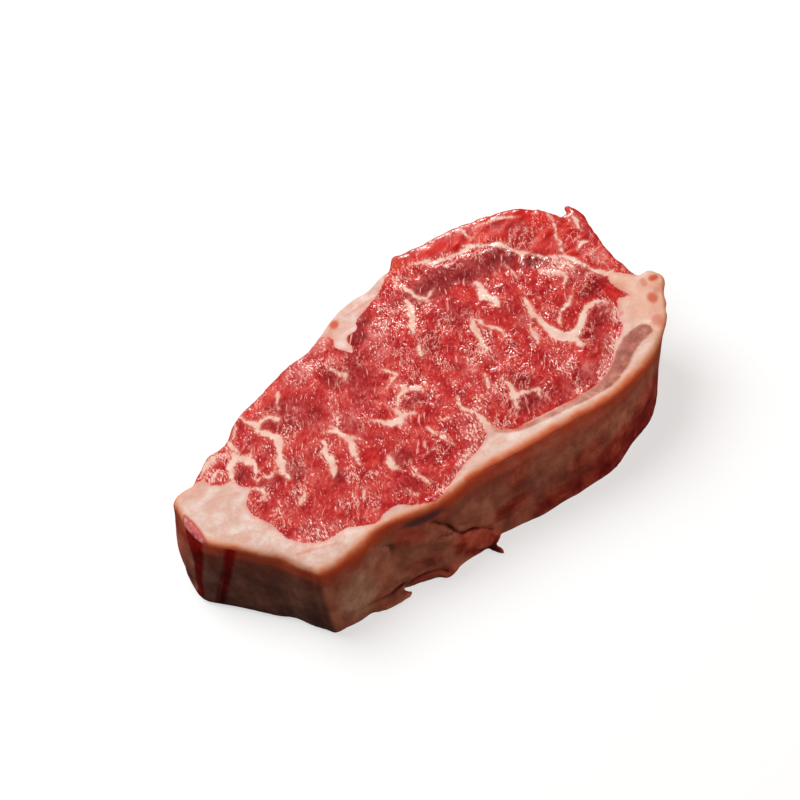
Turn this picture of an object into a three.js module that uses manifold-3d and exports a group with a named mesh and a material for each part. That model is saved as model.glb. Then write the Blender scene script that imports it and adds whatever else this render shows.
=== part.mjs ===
// Raw sirloin steak: one thick slice of strip loin with its fat cap on, lying on a cut face.
//
// Millimetres, +Z up. +X runs from the narrow tail end to the broad end, the fat cap faces -Y and
// the side that lay along the bone faces +Y. The origin is on the flat base, near its middle.
// The slice is one piece of meat, so it is one solid: a top face, a rounded rim, a side and a base,
// with the loose shreds of trimmed fat fused to its edges.
import * as THREE from "three";
import { mergeVertices } from "three/addons/utils/BufferGeometryUtils.js";
import Module from "manifold-3d";

// The cut: a 1.5 inch slice that is a little thicker at the broad end than at the tail.
const THICKNESS = 37.7;
const RISE_ALONG = 0.0305; // millimetres of height gained for each millimetre of x
const RISE_ACROSS = 0.0097; // and for each millimetre of y

// The mesh: cells along and across the top face, and rows down the side.
const CELLS_ALONG = 64;
const CELLS_ACROSS = 36;
const SIDE_ROWS = 9;
const RIM_STEPS = 3; // facets round the top edge

// The edges of the slice.
const RIM_RADIUS = 2.4; // cut fat and muscle round off a little at the top edge
const RIM_OUTSET = 0.4 * RIM_RADIUS; // from the middle of that rounding, which the rows below give
const BASE_RADIUS = 1.6; // and where the side turns under to the base
const SIDE_BULGE = 1.1; // the side swells between its two cut edges
const UNDERCUT_SOONER = 0.6; // below 1, an undercut side draws in close under the rim

// The rim seen from above, counter-clockwise, in four stretches that share their end points.
// Each row: x, y, and how far the base stands out past the rim there (negative: undercut).
const FAT_CAP = [
  [-71, -54, 1.7],
  [-66, -55, 2.2],
  [-53, -53, 3.2],
  [-45.5, -50.6, 3.8],
  [-36, -52, 2.2],
  [-24, -54.5, 2],
  [-8, -53.2, 2],
  [3, -53.7, 1.6],
  [16, -54.5, 2.2],
  [34, -55, 2.4],
  [49, -55.5, -0.2],
  [61, -52.5, -2.4],
  [74, -46, -1.6],
  [87, -36.5, -4.6],
  [91.5, -30, -5],
];
const BROAD_END = [
  [91.5, -30, -5],
  [96, -23, -5],
  [99, -18, -6],
  [96.5, -14.2, -4],
  [92.3, -12.5, -2.5],
  [91.2, -2, -2],
  [91.4, 8, -2],
  [93, 15.5, -2],
  [95.5, 26, -2.5],
  [94.5, 33, -3],
];
const BONE_SIDE = [
  [94.5, 33, -3],
  [91, 31.8, -2],
  [87.8, 32.2, -1],
  [86, 37.5, -2],
  [83, 42, -1],
  [75.5, 48, 0],
  [63, 52.2, 1],
  [50, 54.6, 1.5],
  [36, 55.2, 1],
  [26, 56, 0.5],
  [21.5, 52.6, 1.5],
  [12, 49.2, 2],
  [0, 47, 1],
  [-8, 44.5, 0],
  [-17, 39.5, -1],
  [-26, 35, 0],
  [-35, 33.8, 1],
  [-52, 27.2, 1.5],
  [-63, 23, 1],
  [-71, 15.6, 0],
  [-80, 13.5, 1],
  [-86, 8.4, 1.5],
  [-90, 5.6, 2],
  [-94.5, 6.2, 2],
  [-98, 3.2, 3.6],
];
const TAIL_END = [
  [-98, 3.2, 3.6],
  [-98.9, -4, 4.8],
  [-98.6, -13, 5.2],
  [-96, -19.5, 3.2],
  [-90, -26, 3],
  [-84, -34, 2.2],
  [-78, -41.5, 2],
  [-74.5, -49, 1.8],
  [-71, -54, 1.7],
];

// Seams in the cut face: where the lean meets the fat cap, and where the chain muscle lies against
// the eye of the loin. Each is a shallow groove along a line of x, y points.
const FAT_SEAM = [
  [-75, -3],
  [-78, -16],
  [-73, -32],
  [-65, -43],
  [-54, -44.5],
  [-45, -49],
  [-28, -51],
  [-14, -50],
  [6, -41.5],
  [16, -44.5],
  [49, -47],
  [66, -35],
  [78, -22],
  [83.5, -15],
  [80.5, -1],
];
const CHAIN_SEAM = [
  [36, 44],
  [50, 41.2],
  [61, 36.5],
  [66, 23.5],
  [78, 10],
  [84, -4.8],
];
const SEAM_WIDTH = 3;
const SEAM_DEPTH = 0.9;
const MUSCLE_WAVE = 0.45; // the cut face is not quite flat, as the knife drags the soft muscle

// A flap of fat folded down over the cap: x, and the height of the crease above it.
const FLAP_CREASE = [
  [-48, 31],
  [-28, 27],
  [-20, 21],
  [-16, 13.5],
  [-9, 9],
  [-5.5, 5.5],
  [-2, 0],
];
const FLAP_STEP = 2.2; // how far it stands proud of the cap
const FLAP_FADE = 18; // it grows out of the cap over this length

// Shreds of trimmed fat and meat: middle, length, width, thickness, turn about Z and lift, in degrees.
const SHREDS = [
  { at: [-49.5, -57.6, 1.5], size: [17, 4.6, 3], turn: -6, lift: 0 },
  { at: [-25.6, -58.4, 2.7], size: [9, 4.6, 5.4], turn: -8, lift: 0 },
  { at: [-6.8, -60.2, 1.2], size: [7.5, 2.6, 2.4], turn: -66, lift: 0 },
  { at: [93.8, 33.4, 39.2], size: [6.6, 3.8, 2.8], turn: 118, lift: 8 },
];

const RAW_MEAT = new THREE.MeshStandardMaterial({
  name: "raw_meat",
  color: 0xc5544d,
  roughness: 0.45,
  metalness: 0,
});

const smooth = (low, high, value) => THREE.MathUtils.smoothstep(value, low, high);

/** Reads a value off a table of [place, value] rows, straight between them. */
function readTable(table, place) {
  const after = table.findIndex((row) => row[0] > place);
  if (after === 0) return table[0][1];
  if (after < 0) return table[table.length - 1][1];
  const [[x0, v0], [x1, v1]] = [table[after - 1], table[after]];
  return THREE.MathUtils.mapLinear(place, x0, x1, v0, v1);
}

/** Shortest distance in plan from (x, y) to a line through the points of path. */
function distanceToPath(x, y, path) {
  let nearest = Infinity;
  for (let i = 1; i < path.length; i++) {
    const [[ax, ay], [bx, by]] = [path[i - 1], path[i]];
    const [dx, dy] = [bx - ax, by - ay];
    const share = ((x - ax) * dx + (y - ay) * dy) / (dx * dx + dy * dy);
    const t = THREE.MathUtils.clamp(share, 0, 1);
    nearest = Math.min(nearest, Math.hypot(x - ax - t * dx, y - ay - t * dy));
  }
  return nearest;
}

const cutHeight = (x, y) => THICKNESS + RISE_ALONG * x + RISE_ACROSS * y;

/** Height of the cut face: the slice's thickness with its seams and the knife's drag. */
function topHeight(x, y) {
  const seam = Math.min(distanceToPath(x, y, FAT_SEAM), distanceToPath(x, y, CHAIN_SEAM));
  const groove = SEAM_DEPTH * (1 - smooth(0, SEAM_WIDTH, seam));
  const wave = Math.sin(x / 13 + y / 21) * Math.sin(y / 11 - x / 29);
  return cutHeight(x, y) - groove + MUSCLE_WAVE * wave;
}

/** Evenly spaced points on a smooth curve through one stretch of the rim, without the last one. */
function spacedStretch(stretch, cells) {
  const points = stretch.map(([x, y, flare]) => new THREE.Vector3(x, y, flare));
  return new THREE.CatmullRomCurve3(points).getSpacedPoints(cells).slice(0, cells);
}

/** The whole rim as a ring of places, each with its outward direction and its flare at the base. */
function rimPlaces() {
  const ring = [
    ...spacedStretch(FAT_CAP, CELLS_ALONG),
    ...spacedStretch(BROAD_END, CELLS_ACROSS),
    ...spacedStretch(BONE_SIDE, CELLS_ALONG),
    ...spacedStretch(TAIL_END, CELLS_ACROSS),
  ];
  return ring.map((point, i) => {
    const before = ring[(i + ring.length - 2) % ring.length];
    const after = ring[(i + 2) % ring.length];
    const out = new THREE.Vector2(after.y - before.y, before.x - after.x).normalize();
    const [x, y] = [point.x + RIM_OUTSET * out.x, point.y + RIM_OUTSET * out.y];
    return { x, y, flare: point.z, out };
  });
}

/** How far the side stands out past the rim at a height, as a share of the full height. */
function sideReach(place, z, share) {
  const undercut = place.flare < 0;
  const swell = undercut ? 0 : Math.sin(Math.PI * share);
  let reach = place.flare * (1 - share) ** (undercut ? UNDERCUT_SOONER : 1) + SIDE_BULGE * swell;
  const underCrease = smooth(0, 3, readTable(FLAP_CREASE, place.x) - z);
  const [flapStart, flapEnd] = [FLAP_CREASE[0][0], FLAP_CREASE[FLAP_CREASE.length - 1][0]];
  if (place.y < 0 && place.x > flapStart && place.x < flapEnd)
    reach += FLAP_STEP * underCrease * smooth(flapStart, flapStart + FLAP_FADE, place.x);
  return reach;
}

/** Rings of points from the edge of the top face, round the rim and down the side to the base. */
function sideRings(places) {
  const rings = [];
  for (let step = 0; step <= RIM_STEPS; step++) {
    const angle = (step / RIM_STEPS) * (Math.PI / 2);
    const inset = RIM_RADIUS * (1 - Math.sin(angle));
    const drop = RIM_RADIUS * (1 - Math.cos(angle));
    rings.push(
      places.map(({ x, y, out }) => {
        const [px, py] = [x - out.x * inset, y - out.y * inset];
        return new THREE.Vector3(px, py, (step ? cutHeight(px, py) : topHeight(px, py)) - drop);
      }),
    );
  }
  for (let row = 1; row <= SIDE_ROWS; row++) {
    rings.push(
      places.map((place) => {
        const share = 1 - row / SIDE_ROWS;
        const z = BASE_RADIUS + share * (cutHeight(place.x, place.y) - RIM_RADIUS - BASE_RADIUS);
        const reach = sideReach(place, z, share);
        return new THREE.Vector3(place.x + place.out.x * reach, place.y + place.out.y * reach, z);
      }),
    );
  }
  const lowest = rings[rings.length - 1];
  rings.push(
    lowest.map(({ x, y }, i) => {
      const { out } = places[i];
      return new THREE.Vector3(x - out.x * BASE_RADIUS, y - out.y * BASE_RADIUS, 0);
    }),
  );
  return rings;
}

/** The slice itself: a Coons patch for the top, a band of rings for the side, a flat base. */
function sliceGeometry() {
  const vertices = [];
  const triangles = [];
  const add = (point) => vertices.push(point) - 1;
  const quad = (a, b, c, d) => triangles.push([a, b, c], [a, c, d]);

  const rings = sideRings(rimPlaces()).map((ring) => ring.map(add));
  const edge = rings[0];
  const count = edge.length;
  const at = (i) => vertices[edge[(i + count) % count]];

  // The top face's grid: its border is the first ring, its inside is blended from the border.
  const corner = [0, CELLS_ALONG, CELLS_ALONG + CELLS_ACROSS, 2 * CELLS_ALONG + CELLS_ACROSS];
  const grid = [];
  for (let j = 0; j <= CELLS_ACROSS; j++) {
    grid.push([]);
    for (let i = 0; i <= CELLS_ALONG; i++) {
      if (j === 0) grid[j].push(edge[i]);
      else if (i === CELLS_ALONG) grid[j].push(edge[corner[1] + j]);
      else if (j === CELLS_ACROSS) grid[j].push(edge[corner[3] - i]);
      else if (i === 0) grid[j].push(edge[count - j]);
      else {
        const [u, v] = [i / CELLS_ALONG, j / CELLS_ACROSS];
        const [front, back] = [at(i), at(corner[3] - i)];
        const [left, right] = [at(-j), at(corner[1] + j)];
        const [c0, c1, c2, c3] = corner.map(at);
        const blend = (axis) =>
          (1 - v) * front[axis] + v * back[axis] + (1 - u) * left[axis] + u * right[axis] -
          (1 - u) * ((1 - v) * c0[axis] + v * c3[axis]) - u * ((1 - v) * c1[axis] + v * c2[axis]);
        const [x, y] = [blend("x"), blend("y")];
        grid[j].push(add(new THREE.Vector3(x, y, topHeight(x, y))));
      }
    }
  }
  for (let j = 0; j < CELLS_ACROSS; j++)
    for (let i = 0; i < CELLS_ALONG; i++)
      quad(grid[j][i], grid[j][i + 1], grid[j + 1][i + 1], grid[j + 1][i]);

  for (let r = 1; r < rings.length; r++)
    for (let i = 0; i < count; i++) {
      const next = (i + 1) % count;
      quad(rings[r][i], rings[r][next], rings[r - 1][next], rings[r - 1][i]);
    }

  const baseRing = rings[rings.length - 1];
  const baseOutline = baseRing.map((index) => new THREE.Vector2(vertices[index].x, vertices[index].y));
  for (const [a, b, c] of THREE.ShapeUtils.triangulateShape(baseOutline, []))
    triangles.push([baseRing[a], baseRing[c], baseRing[b]]);

  const geometry = new THREE.BufferGeometry().setFromPoints(vertices);
  return geometry.setIndex(triangles.flat());
}

/** A small rounded strip, lying where its row says. */
function shredGeometry({ at, size, turn, lift }) {
  const geometry = new THREE.SphereGeometry(0.5, 12, 8);
  const radians = THREE.MathUtils.degToRad;
  return geometry
    .scale(...size)
    .rotateY(-radians(lift))
    .rotateZ(radians(turn))
    .translate(...at);
}

const wasm = await Module();
wasm.setup();

/** A closed geometry as a solid that can be joined to others. */
function toSolid(geometry) {
  geometry.deleteAttribute("normal");
  geometry.deleteAttribute("uv");
  const merged = mergeVertices(geometry);
  return new wasm.Manifold(
    new wasm.Mesh({
      numProp: 3,
      vertProperties: merged.attributes.position.array,
      triVerts: new Uint32Array(merged.index.array),
    }),
  );
}

/** A solid back as a three.js geometry. */
function toGeometry(solid) {
  const mesh = solid.getMesh();
  const geometry = new THREE.BufferGeometry();
  geometry.setAttribute("position", new THREE.BufferAttribute(mesh.vertProperties, 3));
  geometry.setIndex(new THREE.BufferAttribute(mesh.triVerts, 1));
  geometry.computeVertexNormals();
  return geometry;
}

let solid = toSolid(sliceGeometry());
for (const shred of SHREDS) solid = solid.add(toSolid(shredGeometry(shred)));

const steak = new THREE.Mesh(toGeometry(solid), RAW_MEAT);
steak.name = "steak";

const group = new THREE.Group();
group.name = "raw_sirloin_steak";
group.add(steak);

export default group;
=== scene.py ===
import itertools
import math

import bpy
import numpy as np
from mathutils import Matrix, Vector
from mathutils.kdtree import KDTree


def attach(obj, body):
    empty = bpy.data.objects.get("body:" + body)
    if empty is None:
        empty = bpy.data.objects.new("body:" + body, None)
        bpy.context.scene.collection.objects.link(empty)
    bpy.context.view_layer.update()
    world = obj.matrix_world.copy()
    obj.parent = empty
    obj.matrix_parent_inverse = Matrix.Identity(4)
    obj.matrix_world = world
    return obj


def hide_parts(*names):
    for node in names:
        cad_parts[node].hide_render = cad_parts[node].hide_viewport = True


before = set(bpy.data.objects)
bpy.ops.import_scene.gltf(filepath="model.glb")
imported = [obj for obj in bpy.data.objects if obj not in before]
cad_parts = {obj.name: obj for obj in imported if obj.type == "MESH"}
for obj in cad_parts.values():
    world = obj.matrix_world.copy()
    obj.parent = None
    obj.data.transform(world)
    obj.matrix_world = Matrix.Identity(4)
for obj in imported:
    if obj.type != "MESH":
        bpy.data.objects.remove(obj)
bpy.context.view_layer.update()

MM = 0.001

# The cut: the height of the upper cut face over the base, as the slice was cut.
THICKNESS = 37.7
RISE_ALONG = 0.0305
RISE_ACROSS = 0.0097
RIM_DEPTH = 2  # the rim is taken this far under the cut face, where its rounding is steepest

# The skin of the slice, in millimetres.
SKIN_CELL = 0.8  # side of one mesh square, which leaves the piece under 200,000 triangles
SOFTEN_PASSES = 7  # rounds the facets of the solid off
GRAIN_TURN = math.radians(62)  # the grain shows as strokes at this turn from +X on the cut face

# Everything below is seen from above in millimetres: x along the slice, y across it.
# Lean: the eye and the chain together, running out past the rim where bare lean is the edge.
LEAN = [
    (-88.5, 7.5), (-84.9, 5.6), (-84.3, 2.5), (-81.7, -0.1), (-78.4, -1.1), (-75.8, -0.8),
    (-75.8, -2.8), (-75.1, -5.4), (-72.8, -9), (-76.5, -11.6), (-77.8, -16), (-77.1, -20),
    (-75.1, -24.5), (-73.5, -29.7), (-73.2, -34.3), (-71.2, -38.3), (-67.9, -42.2),
    (-62.6, -44.9), (-58, -44.9), (-53.4, -44.5), (-50.8, -46.2), (-47.5, -47.8),
    (-44.2, -49.2), (-39.8, -47.4), (-34.4, -47.8), (-30.8, -50.4), (-26.8, -53),
    (-22.7, -54.2), (-18.8, -53.2), (-13.3, -50), (-7.8, -47.2), (0, -44.5), (3.9, -42.6),
    (7, -40), (8.6, -36.5), (11.7, -41.6), (16.4, -44.9), (20, -44.8), (30, -46.2),
    (39.5, -47), (49.7, -46.6), (55.2, -44.7), (59.8, -41.6), (63.8, -37.3), (66.9, -34.7),
    (70.8, -32.2), (73.9, -29), (74.7, -25.2), (77.8, -20.5), (80.2, -17.3), (84.3, -19.2),
    (83.3, -14.2), (82.5, -8.8), (84.8, -4.8), (88.5, -8.5), (91.5, -11.5), (97, -10),
    (116, -8), (116, 80), (-120, 80), (-105, 24),
]
# A wedge of hard fat in the back edge, where the eye and the chain part.
BACK_WEDGE = [
    (26, 64), (22.4, 54), (19.4, 50.6), (15, 46.6), (10.4, 43.2), (5.2, 40.6), (0, 38.4),
    (-3.4, 36.2), (-4.6, 33), (-6.8, 32.2), (-9.4, 32), (-11, 29), (-10.8, 26), (-12.3, 23.6),
    (-14.4, 27), (-16.4, 30.6), (-14.6, 33.6), (-15.6, 36.6), (-18.4, 38.4), (-22.4, 39.4),
    (-26, 41), (-26, 52), (-10, 66),
]
# The chain: the loose muscle outside the seam, along the back and the broad end.
CHAIN = [
    (15, 47.5), (19, 44.2), (24, 47), (30, 46.5), (35, 46), (43, 43.5), (49.7, 42),
    (53.6, 41), (59.1, 38), (63, 35), (64.5, 29), (66.5, 25), (69.5, 20.5), (72, 17.5),
    (76.6, 14.5), (78.8, 9.4), (80.4, 4), (83, -1.5), (85.2, -4.6), (91, -10), (116, -10),
    (116, 80), (15, 80),
]
# Silverskin: the grey sheet between the eye and the fat cap, widest at the broad end.
SILVERSKIN = [
    (9, -40.6), (13, -42.8), (18, -44.9), (24, -45.9), (30, -46.4), (40, -46.6), (50, -46.2),
    (55, -44.8), (58, -43.2), (62, -40), (66, -37), (70, -34.9), (74, -33.7), (78, -33.4),
    (80.6, -35.2), (80.4, -38.6), (77.6, -40), (73.6, -41), (69.6, -42.8), (65.6, -45.6),
    (60.4, -48.8), (55.4, -50.9), (50, -51.2), (44, -50.8), (36, -50), (29, -49.2),
    (23, -48.4), (18, -47.2), (12.6, -44.6),
]
# A film of blood on the tail's rim.
TAIL_FILM = [(-98.2, -3.4), (-97, -4.4), (-96, -9), (-95.7, -13), (-96, -18), (-98, -19.5),
             (-101, -14), (-101, -7)]

# Fat seams and marbling, each from end to end: x, y, width.
SEAMS = [
    [(32, 44.6, 0.6), (37, 43.6, 2.2), (41, 42.6, 1.8), (45, 41.9, 1.1), (49.7, 41.6, 1.3),
     (53.6, 40.5, 1.4), (59.1, 37.3, 1.6), (62.4, 33.6, 1.3), (63.8, 28.8, 0.9),
     (66.1, 24.8, 0.7), (69.2, 20.2, 0.6), (71.6, 17, 0.6), (74.2, 15, 0.9), (77, 13, 1.4),
     (78.4, 9.2, 1.3), (79.8, 3.8, 1.3), (82.5, -1.7, 2), (84.8, -4.8, 3)],
    [(85.2, 38.9, 0.3), (84.1, 32.7, 0.7), (82.5, 27.2, 0.8), (80.2, 22.5, 0.6),
     (78.2, 17.8, 0.7), (77, 13.9, 1)],
    [(50, 43.4, 0.6), (52.6, 41.6, 1.2), (54.6, 39.8, 0.6)],
    [(83, 12.4, 0.8), (86, 15, 2.6), (88.4, 13.6, 0.8)],
    [(91.6, 31, 0.4), (91, 27, 1.4), (90, 21, 0.4)],
    [(60, 48.6, 0.5), (66, 47.2, 1.3), (71.6, 45, 1.4), (76, 41.6, 0.6)],
    [(53.6, 53, 1), (54.4, 49.4, 1.6), (53.6, 45, 0.8)],
    [(28.4, 48.5, 0.4), (31, 46.6, 1.4), (35, 45.4, 1.2)],
    [(30, -50.2, 0.4), (44, -51.3, 0.8), (54, -51.5, 1.2), (60, -49.9, 1.8), (66, -47, 2),
     (72, -43.9, 2.2), (78, -41.8, 1.8), (82, -39.6, 1.2)],
    # A painted highlight: this pale curl at the silverskin's end stands for a glint.
    [(79.6, -33, 0.8), (81.6, -34.4, 1.8), (82.6, -36.6, 1.8), (82, -38.6, 0.9)],
]
VEINS = [
    [(16.8, 33.4, 1.2), (16.4, 28.8, 2.8), (14.8, 23.3, 3), (12.5, 20.2, 2.2),
     (10.9, 16.3, 0.8)],
    [(16.4, 31, 1.2), (14, 30.8, 1), (12, 30, 0.5)],
    [(9.8, 11.2, 0.6), (8.2, 6.9, 1.1), (7.4, 4.1, 0.5)],
    [(19.1, 43.6, 1.2), (20.3, 37.3, 1.6), (21.9, 33.4, 1.6), (23.4, 29.5, 1.5),
     (24.2, 26.4, 0.7)],
    [(23.4, 29.5, 1), (25.8, 29.4, 0.8), (28.6, 31, 0.4)],
    [(-11.7, -9.5, 0.8), (-10.2, -6.4, 1.8), (-5.5, -5.2, 1.9), (-3, -6.6, 1.6),
     (-1.2, -9.5, 0.7)],
    [(-5.9, -1.6, 0.6), (-5.4, -5, 2)],
    [(-13.3, -10.3, 0.8), (-12.9, -13.8, 1.4), (-11.7, -15, 1.4), (-8.6, -17, 0.7)],
    [(-23.8, -8.4, 0.6), (-20.3, -12.7, 1.6), (-18.4, -15, 2.8), (-16, -16.2, 3),
     (-13.3, -15.4, 1.8)],
    [(-17, -16.4, 1.8), (-16.4, -18.9, 0.8)],
    [(-35.5, -1.7, 0.8), (-34.8, -6.4, 1.9), (-34, -9.5, 1.8), (-34.4, -14.2, 2.2),
     (-35.7, -18.9, 1.9), (-35.2, -24.4, 0.8)],
    [(-34.2, -8.5, 1.6), (-32.4, -11, 1), (-30.3, -15, 0.5)],
    [(-38.8, -3, 0.6), (-36.4, -4.4, 1.2), (-34.8, -6.4, 1.4)],
    [(-41.4, -6.4, 1), (-43, -10.3, 2), (-44.2, -16.3, 2.4), (-45.6, -20.5, 2.4),
     (-46.2, -23, 0.8)],
    [(-46, -11, 0.6), (-43.4, -10.6, 1.4)],
    [(-7.8, 8.8, 0.6), (-5.1, 4.1, 1.3)],
    [(-5.1, 4.1, 1.1), (-7.4, 2.2, 0.8), (-9.8, 1, 0.4)],
    [(-8.6, -25.2, 0.5), (-7.6, -30.6, 1.3), (-4.7, -37.7, 0.6)],
    [(-23.6, 22.4, 0.6), (-20.7, 16.6, 1.5), (-21.3, 13.4, 0.6)],
    [(-26.4, -27.6, 0.8), (-27.4, -30.4, 2.2), (-26.6, -33, 1.6), (-25.8, -35.4, 0.5)],
    [(7.2, -20.5, 0.6), (6.4, -25.2, 1.6), (8.4, -30.6, 1.6), (8.6, -38, 2.2)],
    [(-3.9, -25.2, 0.7), (0, -26.7, 0.6)],
    [(21, -16.6, 0.7), (20, -20, 1.6), (18.8, -23.6, 0.6)],
    [(25, -22.8, 0.7), (24.7, -29.8, 1.8), (24.3, -32.8, 2.6), (27.8, -33.6, 1.6),
     (31.7, -35.4, 1.6), (30.6, -38, 0.6)],
    [(24.2, -32.5, 1.6), (22.6, -35.5, 1.4), (21.6, -38.5, 0.5)],
    [(52.4, 5.3, 0.7), (51.4, 1, 1.8), (51.1, -4, 2.6), (51, -9.6, 2.4), (51.6, -15, 3.4),
     (53.2, -19.6, 4.6), (56.4, -21.8, 3.8), (60.2, -20.6, 2.6), (63.2, -18, 2.4),
     (66.4, -15.4, 2.3), (70, -14.4, 2), (73.6, -15, 1.4), (76, -17, 0.8)],
    [(53.6, -20, 2.4), (55, -24, 2.6), (56.4, -27, 1.6), (58, -29, 0.6)],
    [(-84, 8.5, 0.8), (-81, 11, 1.8), (-77.6, 11.6, 1.6), (-74, 11, 1.2)],
    # A painted highlight: this pale stroke stands for a wet glint on the lean.
    [(-72, -9, 0.4), (-70.6, -12.6, 1.3), (-71, -16.4, 0.4)],
    [(-83, 3, 0.6), (-80.4, 5.2, 1.5), (-78, 6.4, 0.6)],
    [(66.4, 12.4, 0.8), (69, 9.6, 1.8), (70.6, 5.6, 1.4), (69, 1.4, 0.8)],
    [(73, 12.4, 1), (75, 9, 1.8), (76, 5, 1.2)],
    [(45.8, -10.3, 0.6), (45.2, -13.4, 1.6), (44, -17.4, 0.6)],
    [(42.2, 24, 0.8), (43, 20.6, 2.2), (41.8, 15.6, 3.8), (43.2, 11, 3), (43.7, 7.6, 0.8)],
    [(56.6, 24.8, 0.5), (56.4, 18, 1.4), (56.3, 15, 0.5)],
    [(32.2, 7.6, 1), (30.6, 4.4, 2.4), (30, 0, 2.2), (28.8, -4, 1.8), (27.6, -8, 0.6)],
    [(33.8, 7.4, 0.5), (34.2, 4.4, 0.9)],
    [(34.8, 2.2, 0.5), (36.8, -0.9, 1.3), (37.4, -5, 0.5)],
    [(67, -5.4, 0.5), (63.4, -7.6, 0.9), (60.4, -9.8, 1), (58, -12.4, 1), (56, -15.4, 0.4)],
    [(-61.6, 24, 0.7), (-60.2, 20, 1.2), (-58.2, 15.7, 1.9), (-58.6, 11.7, 1.2),
     (-56, 8.6, 2), (-54.4, 4.4, 3), (-56.2, 0.4, 2.4), (-58.2, -4.7, 2.6),
     (-60.3, -8.4, 1.8), (-59.7, -13.9, 0.7)],
    [(-54.4, 4.8, 2), (-52.4, 5, 0.8)],
    [(-58.4, 16.4, 1.2), (-54.6, 16.4, 1), (-51, 14.4, 1.3), (-49.4, 13, 0.5)],
    [(-61.8, -8.8, 0.5), (-60.4, -8, 1.4)],
    [(-71.5, 9.5, 2), (-69.6, 6, 3), (-68.2, 2.6, 3.2), (-66.6, 0.6, 1.8), (-67.4, -2.6, 1.6),
     (-69.5, -6, 0.6)],
    [(-64, 8.4, 0.4), (-66.6, 4.6, 0.8), (-67.6, 2, 1.4)],
    [(-76.8, -0.6, 1.8), (-75, 2.5, 2.2), (-73.4, 5.4, 2.6), (-71.5, 7.4, 3)],
    [(-69, -7.6, 0.6), (-66.4, -7.4, 1.2), (-64, -8.4, 1.5), (-62, -6.6, 0.6)],
    [(-57.6, -22, 0.5), (-59, -24.6, 1.6), (-61.6, -25.8, 1.2), (-63, -26.6, 0.5)],
    [(-70.5, 18.6, 0.8), (-69.4, 14, 1.6), (-69.6, 9.6, 1.8)],
    [(-63.6, 25.2, 0.6), (-64.6, 21.6, 1), (-66.6, 16, 0.7)],
    [(-16.4, -35, 0.5), (-13, -34.6, 0.9), (-11.4, -35.8, 0.4)],
    [(-22.8, -40.4, 0.6), (-21.6, -43.6, 1.4), (-21.8, -46.6, 0.5)],
    [(-40.6, -34.6, 0.8), (-42.4, -37.6, 1.3)],
    [(-47.6, 17.6, 0.4), (-44.4, 24, 0.8)],
    [(-29.4, -44.6, 0.4), (-27, -49, 0.9)],
]
# Where the lean is darker: x, y, half length, half width, turn in degrees, strength.
DARK_SPOTS = [
    (52, 30, 17, 7, -8, 0.9), (31, 33.5, 15, 6.5, 8, 0.95), (67, 19, 6, 4.6, -30, 1),
    (60, 28, 5, 7, -20, 1), (-22, 17, 6, 6, 0, 0.8), (28, 14.5, 8, 6, 0, 0.55),
    (-47, 14, 8, 9, -30, 0.6), (13, 9, 5, 7, -30, 0.6), (29, -29, 5, 4, 0, 0.8),
    (62, -26, 4.4, 5, 0, 0.5), (-56, -11.5, 4, 6, 0, 0.8), (-14, 20, 4, 6, -20, 0.6),
    (-11, -38, 6, 4, 0, 0.4), (76, -7, 8, 4, 10, 0.6), (69, -20.5, 7, 4.6, 30, 0.8),
    (26, -38, 8, 4.8, -5, 1), (-7.4, 28.8, 4.6, 4.2, 0, 1), (-1.6, 35, 4, 3.4, 40, 0.9),
    (19.5, 33.4, 1.8, 4.5, 0, 0.8), (26.6, 32.7, 4.5, 4, 0, 0.7), (-23, -31.5, 5, 4, 0, 0.7),
    (-6, -11.4, 5, 2.4, 5, 0.6), (-45, -24, 3, 2.6, 0, 0.8), (-16, 10, 6, 9, -20, 0.4),
    (-54, 13.4, 4, 2.4, 0, 0.7), (-66, -10.6, 7, 3, -20, 0.5), (-72.6, -1.2, 3, 3.6, 0, 0.6),
    (46, 4.4, 6, 4, 20, 0.4), (65, -8, 8, 2.4, 20, 0.3), (-24, -44, 9, 4, -20, 0.4),
    (62, -31, 6, 5, 40, 0.4), (45, -40, 12, 4, 0, 0.5), (70, 33, 6, 9, -20, 0.5),
    (32, -40, 5, 3, -10, 0.5), (74, 2, 7, 6, 0, 0.3), (-40, 8, 7, 5, 0, 0.4),
    (-30, -8, 4, 6, 0, 0.4),
]
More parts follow.
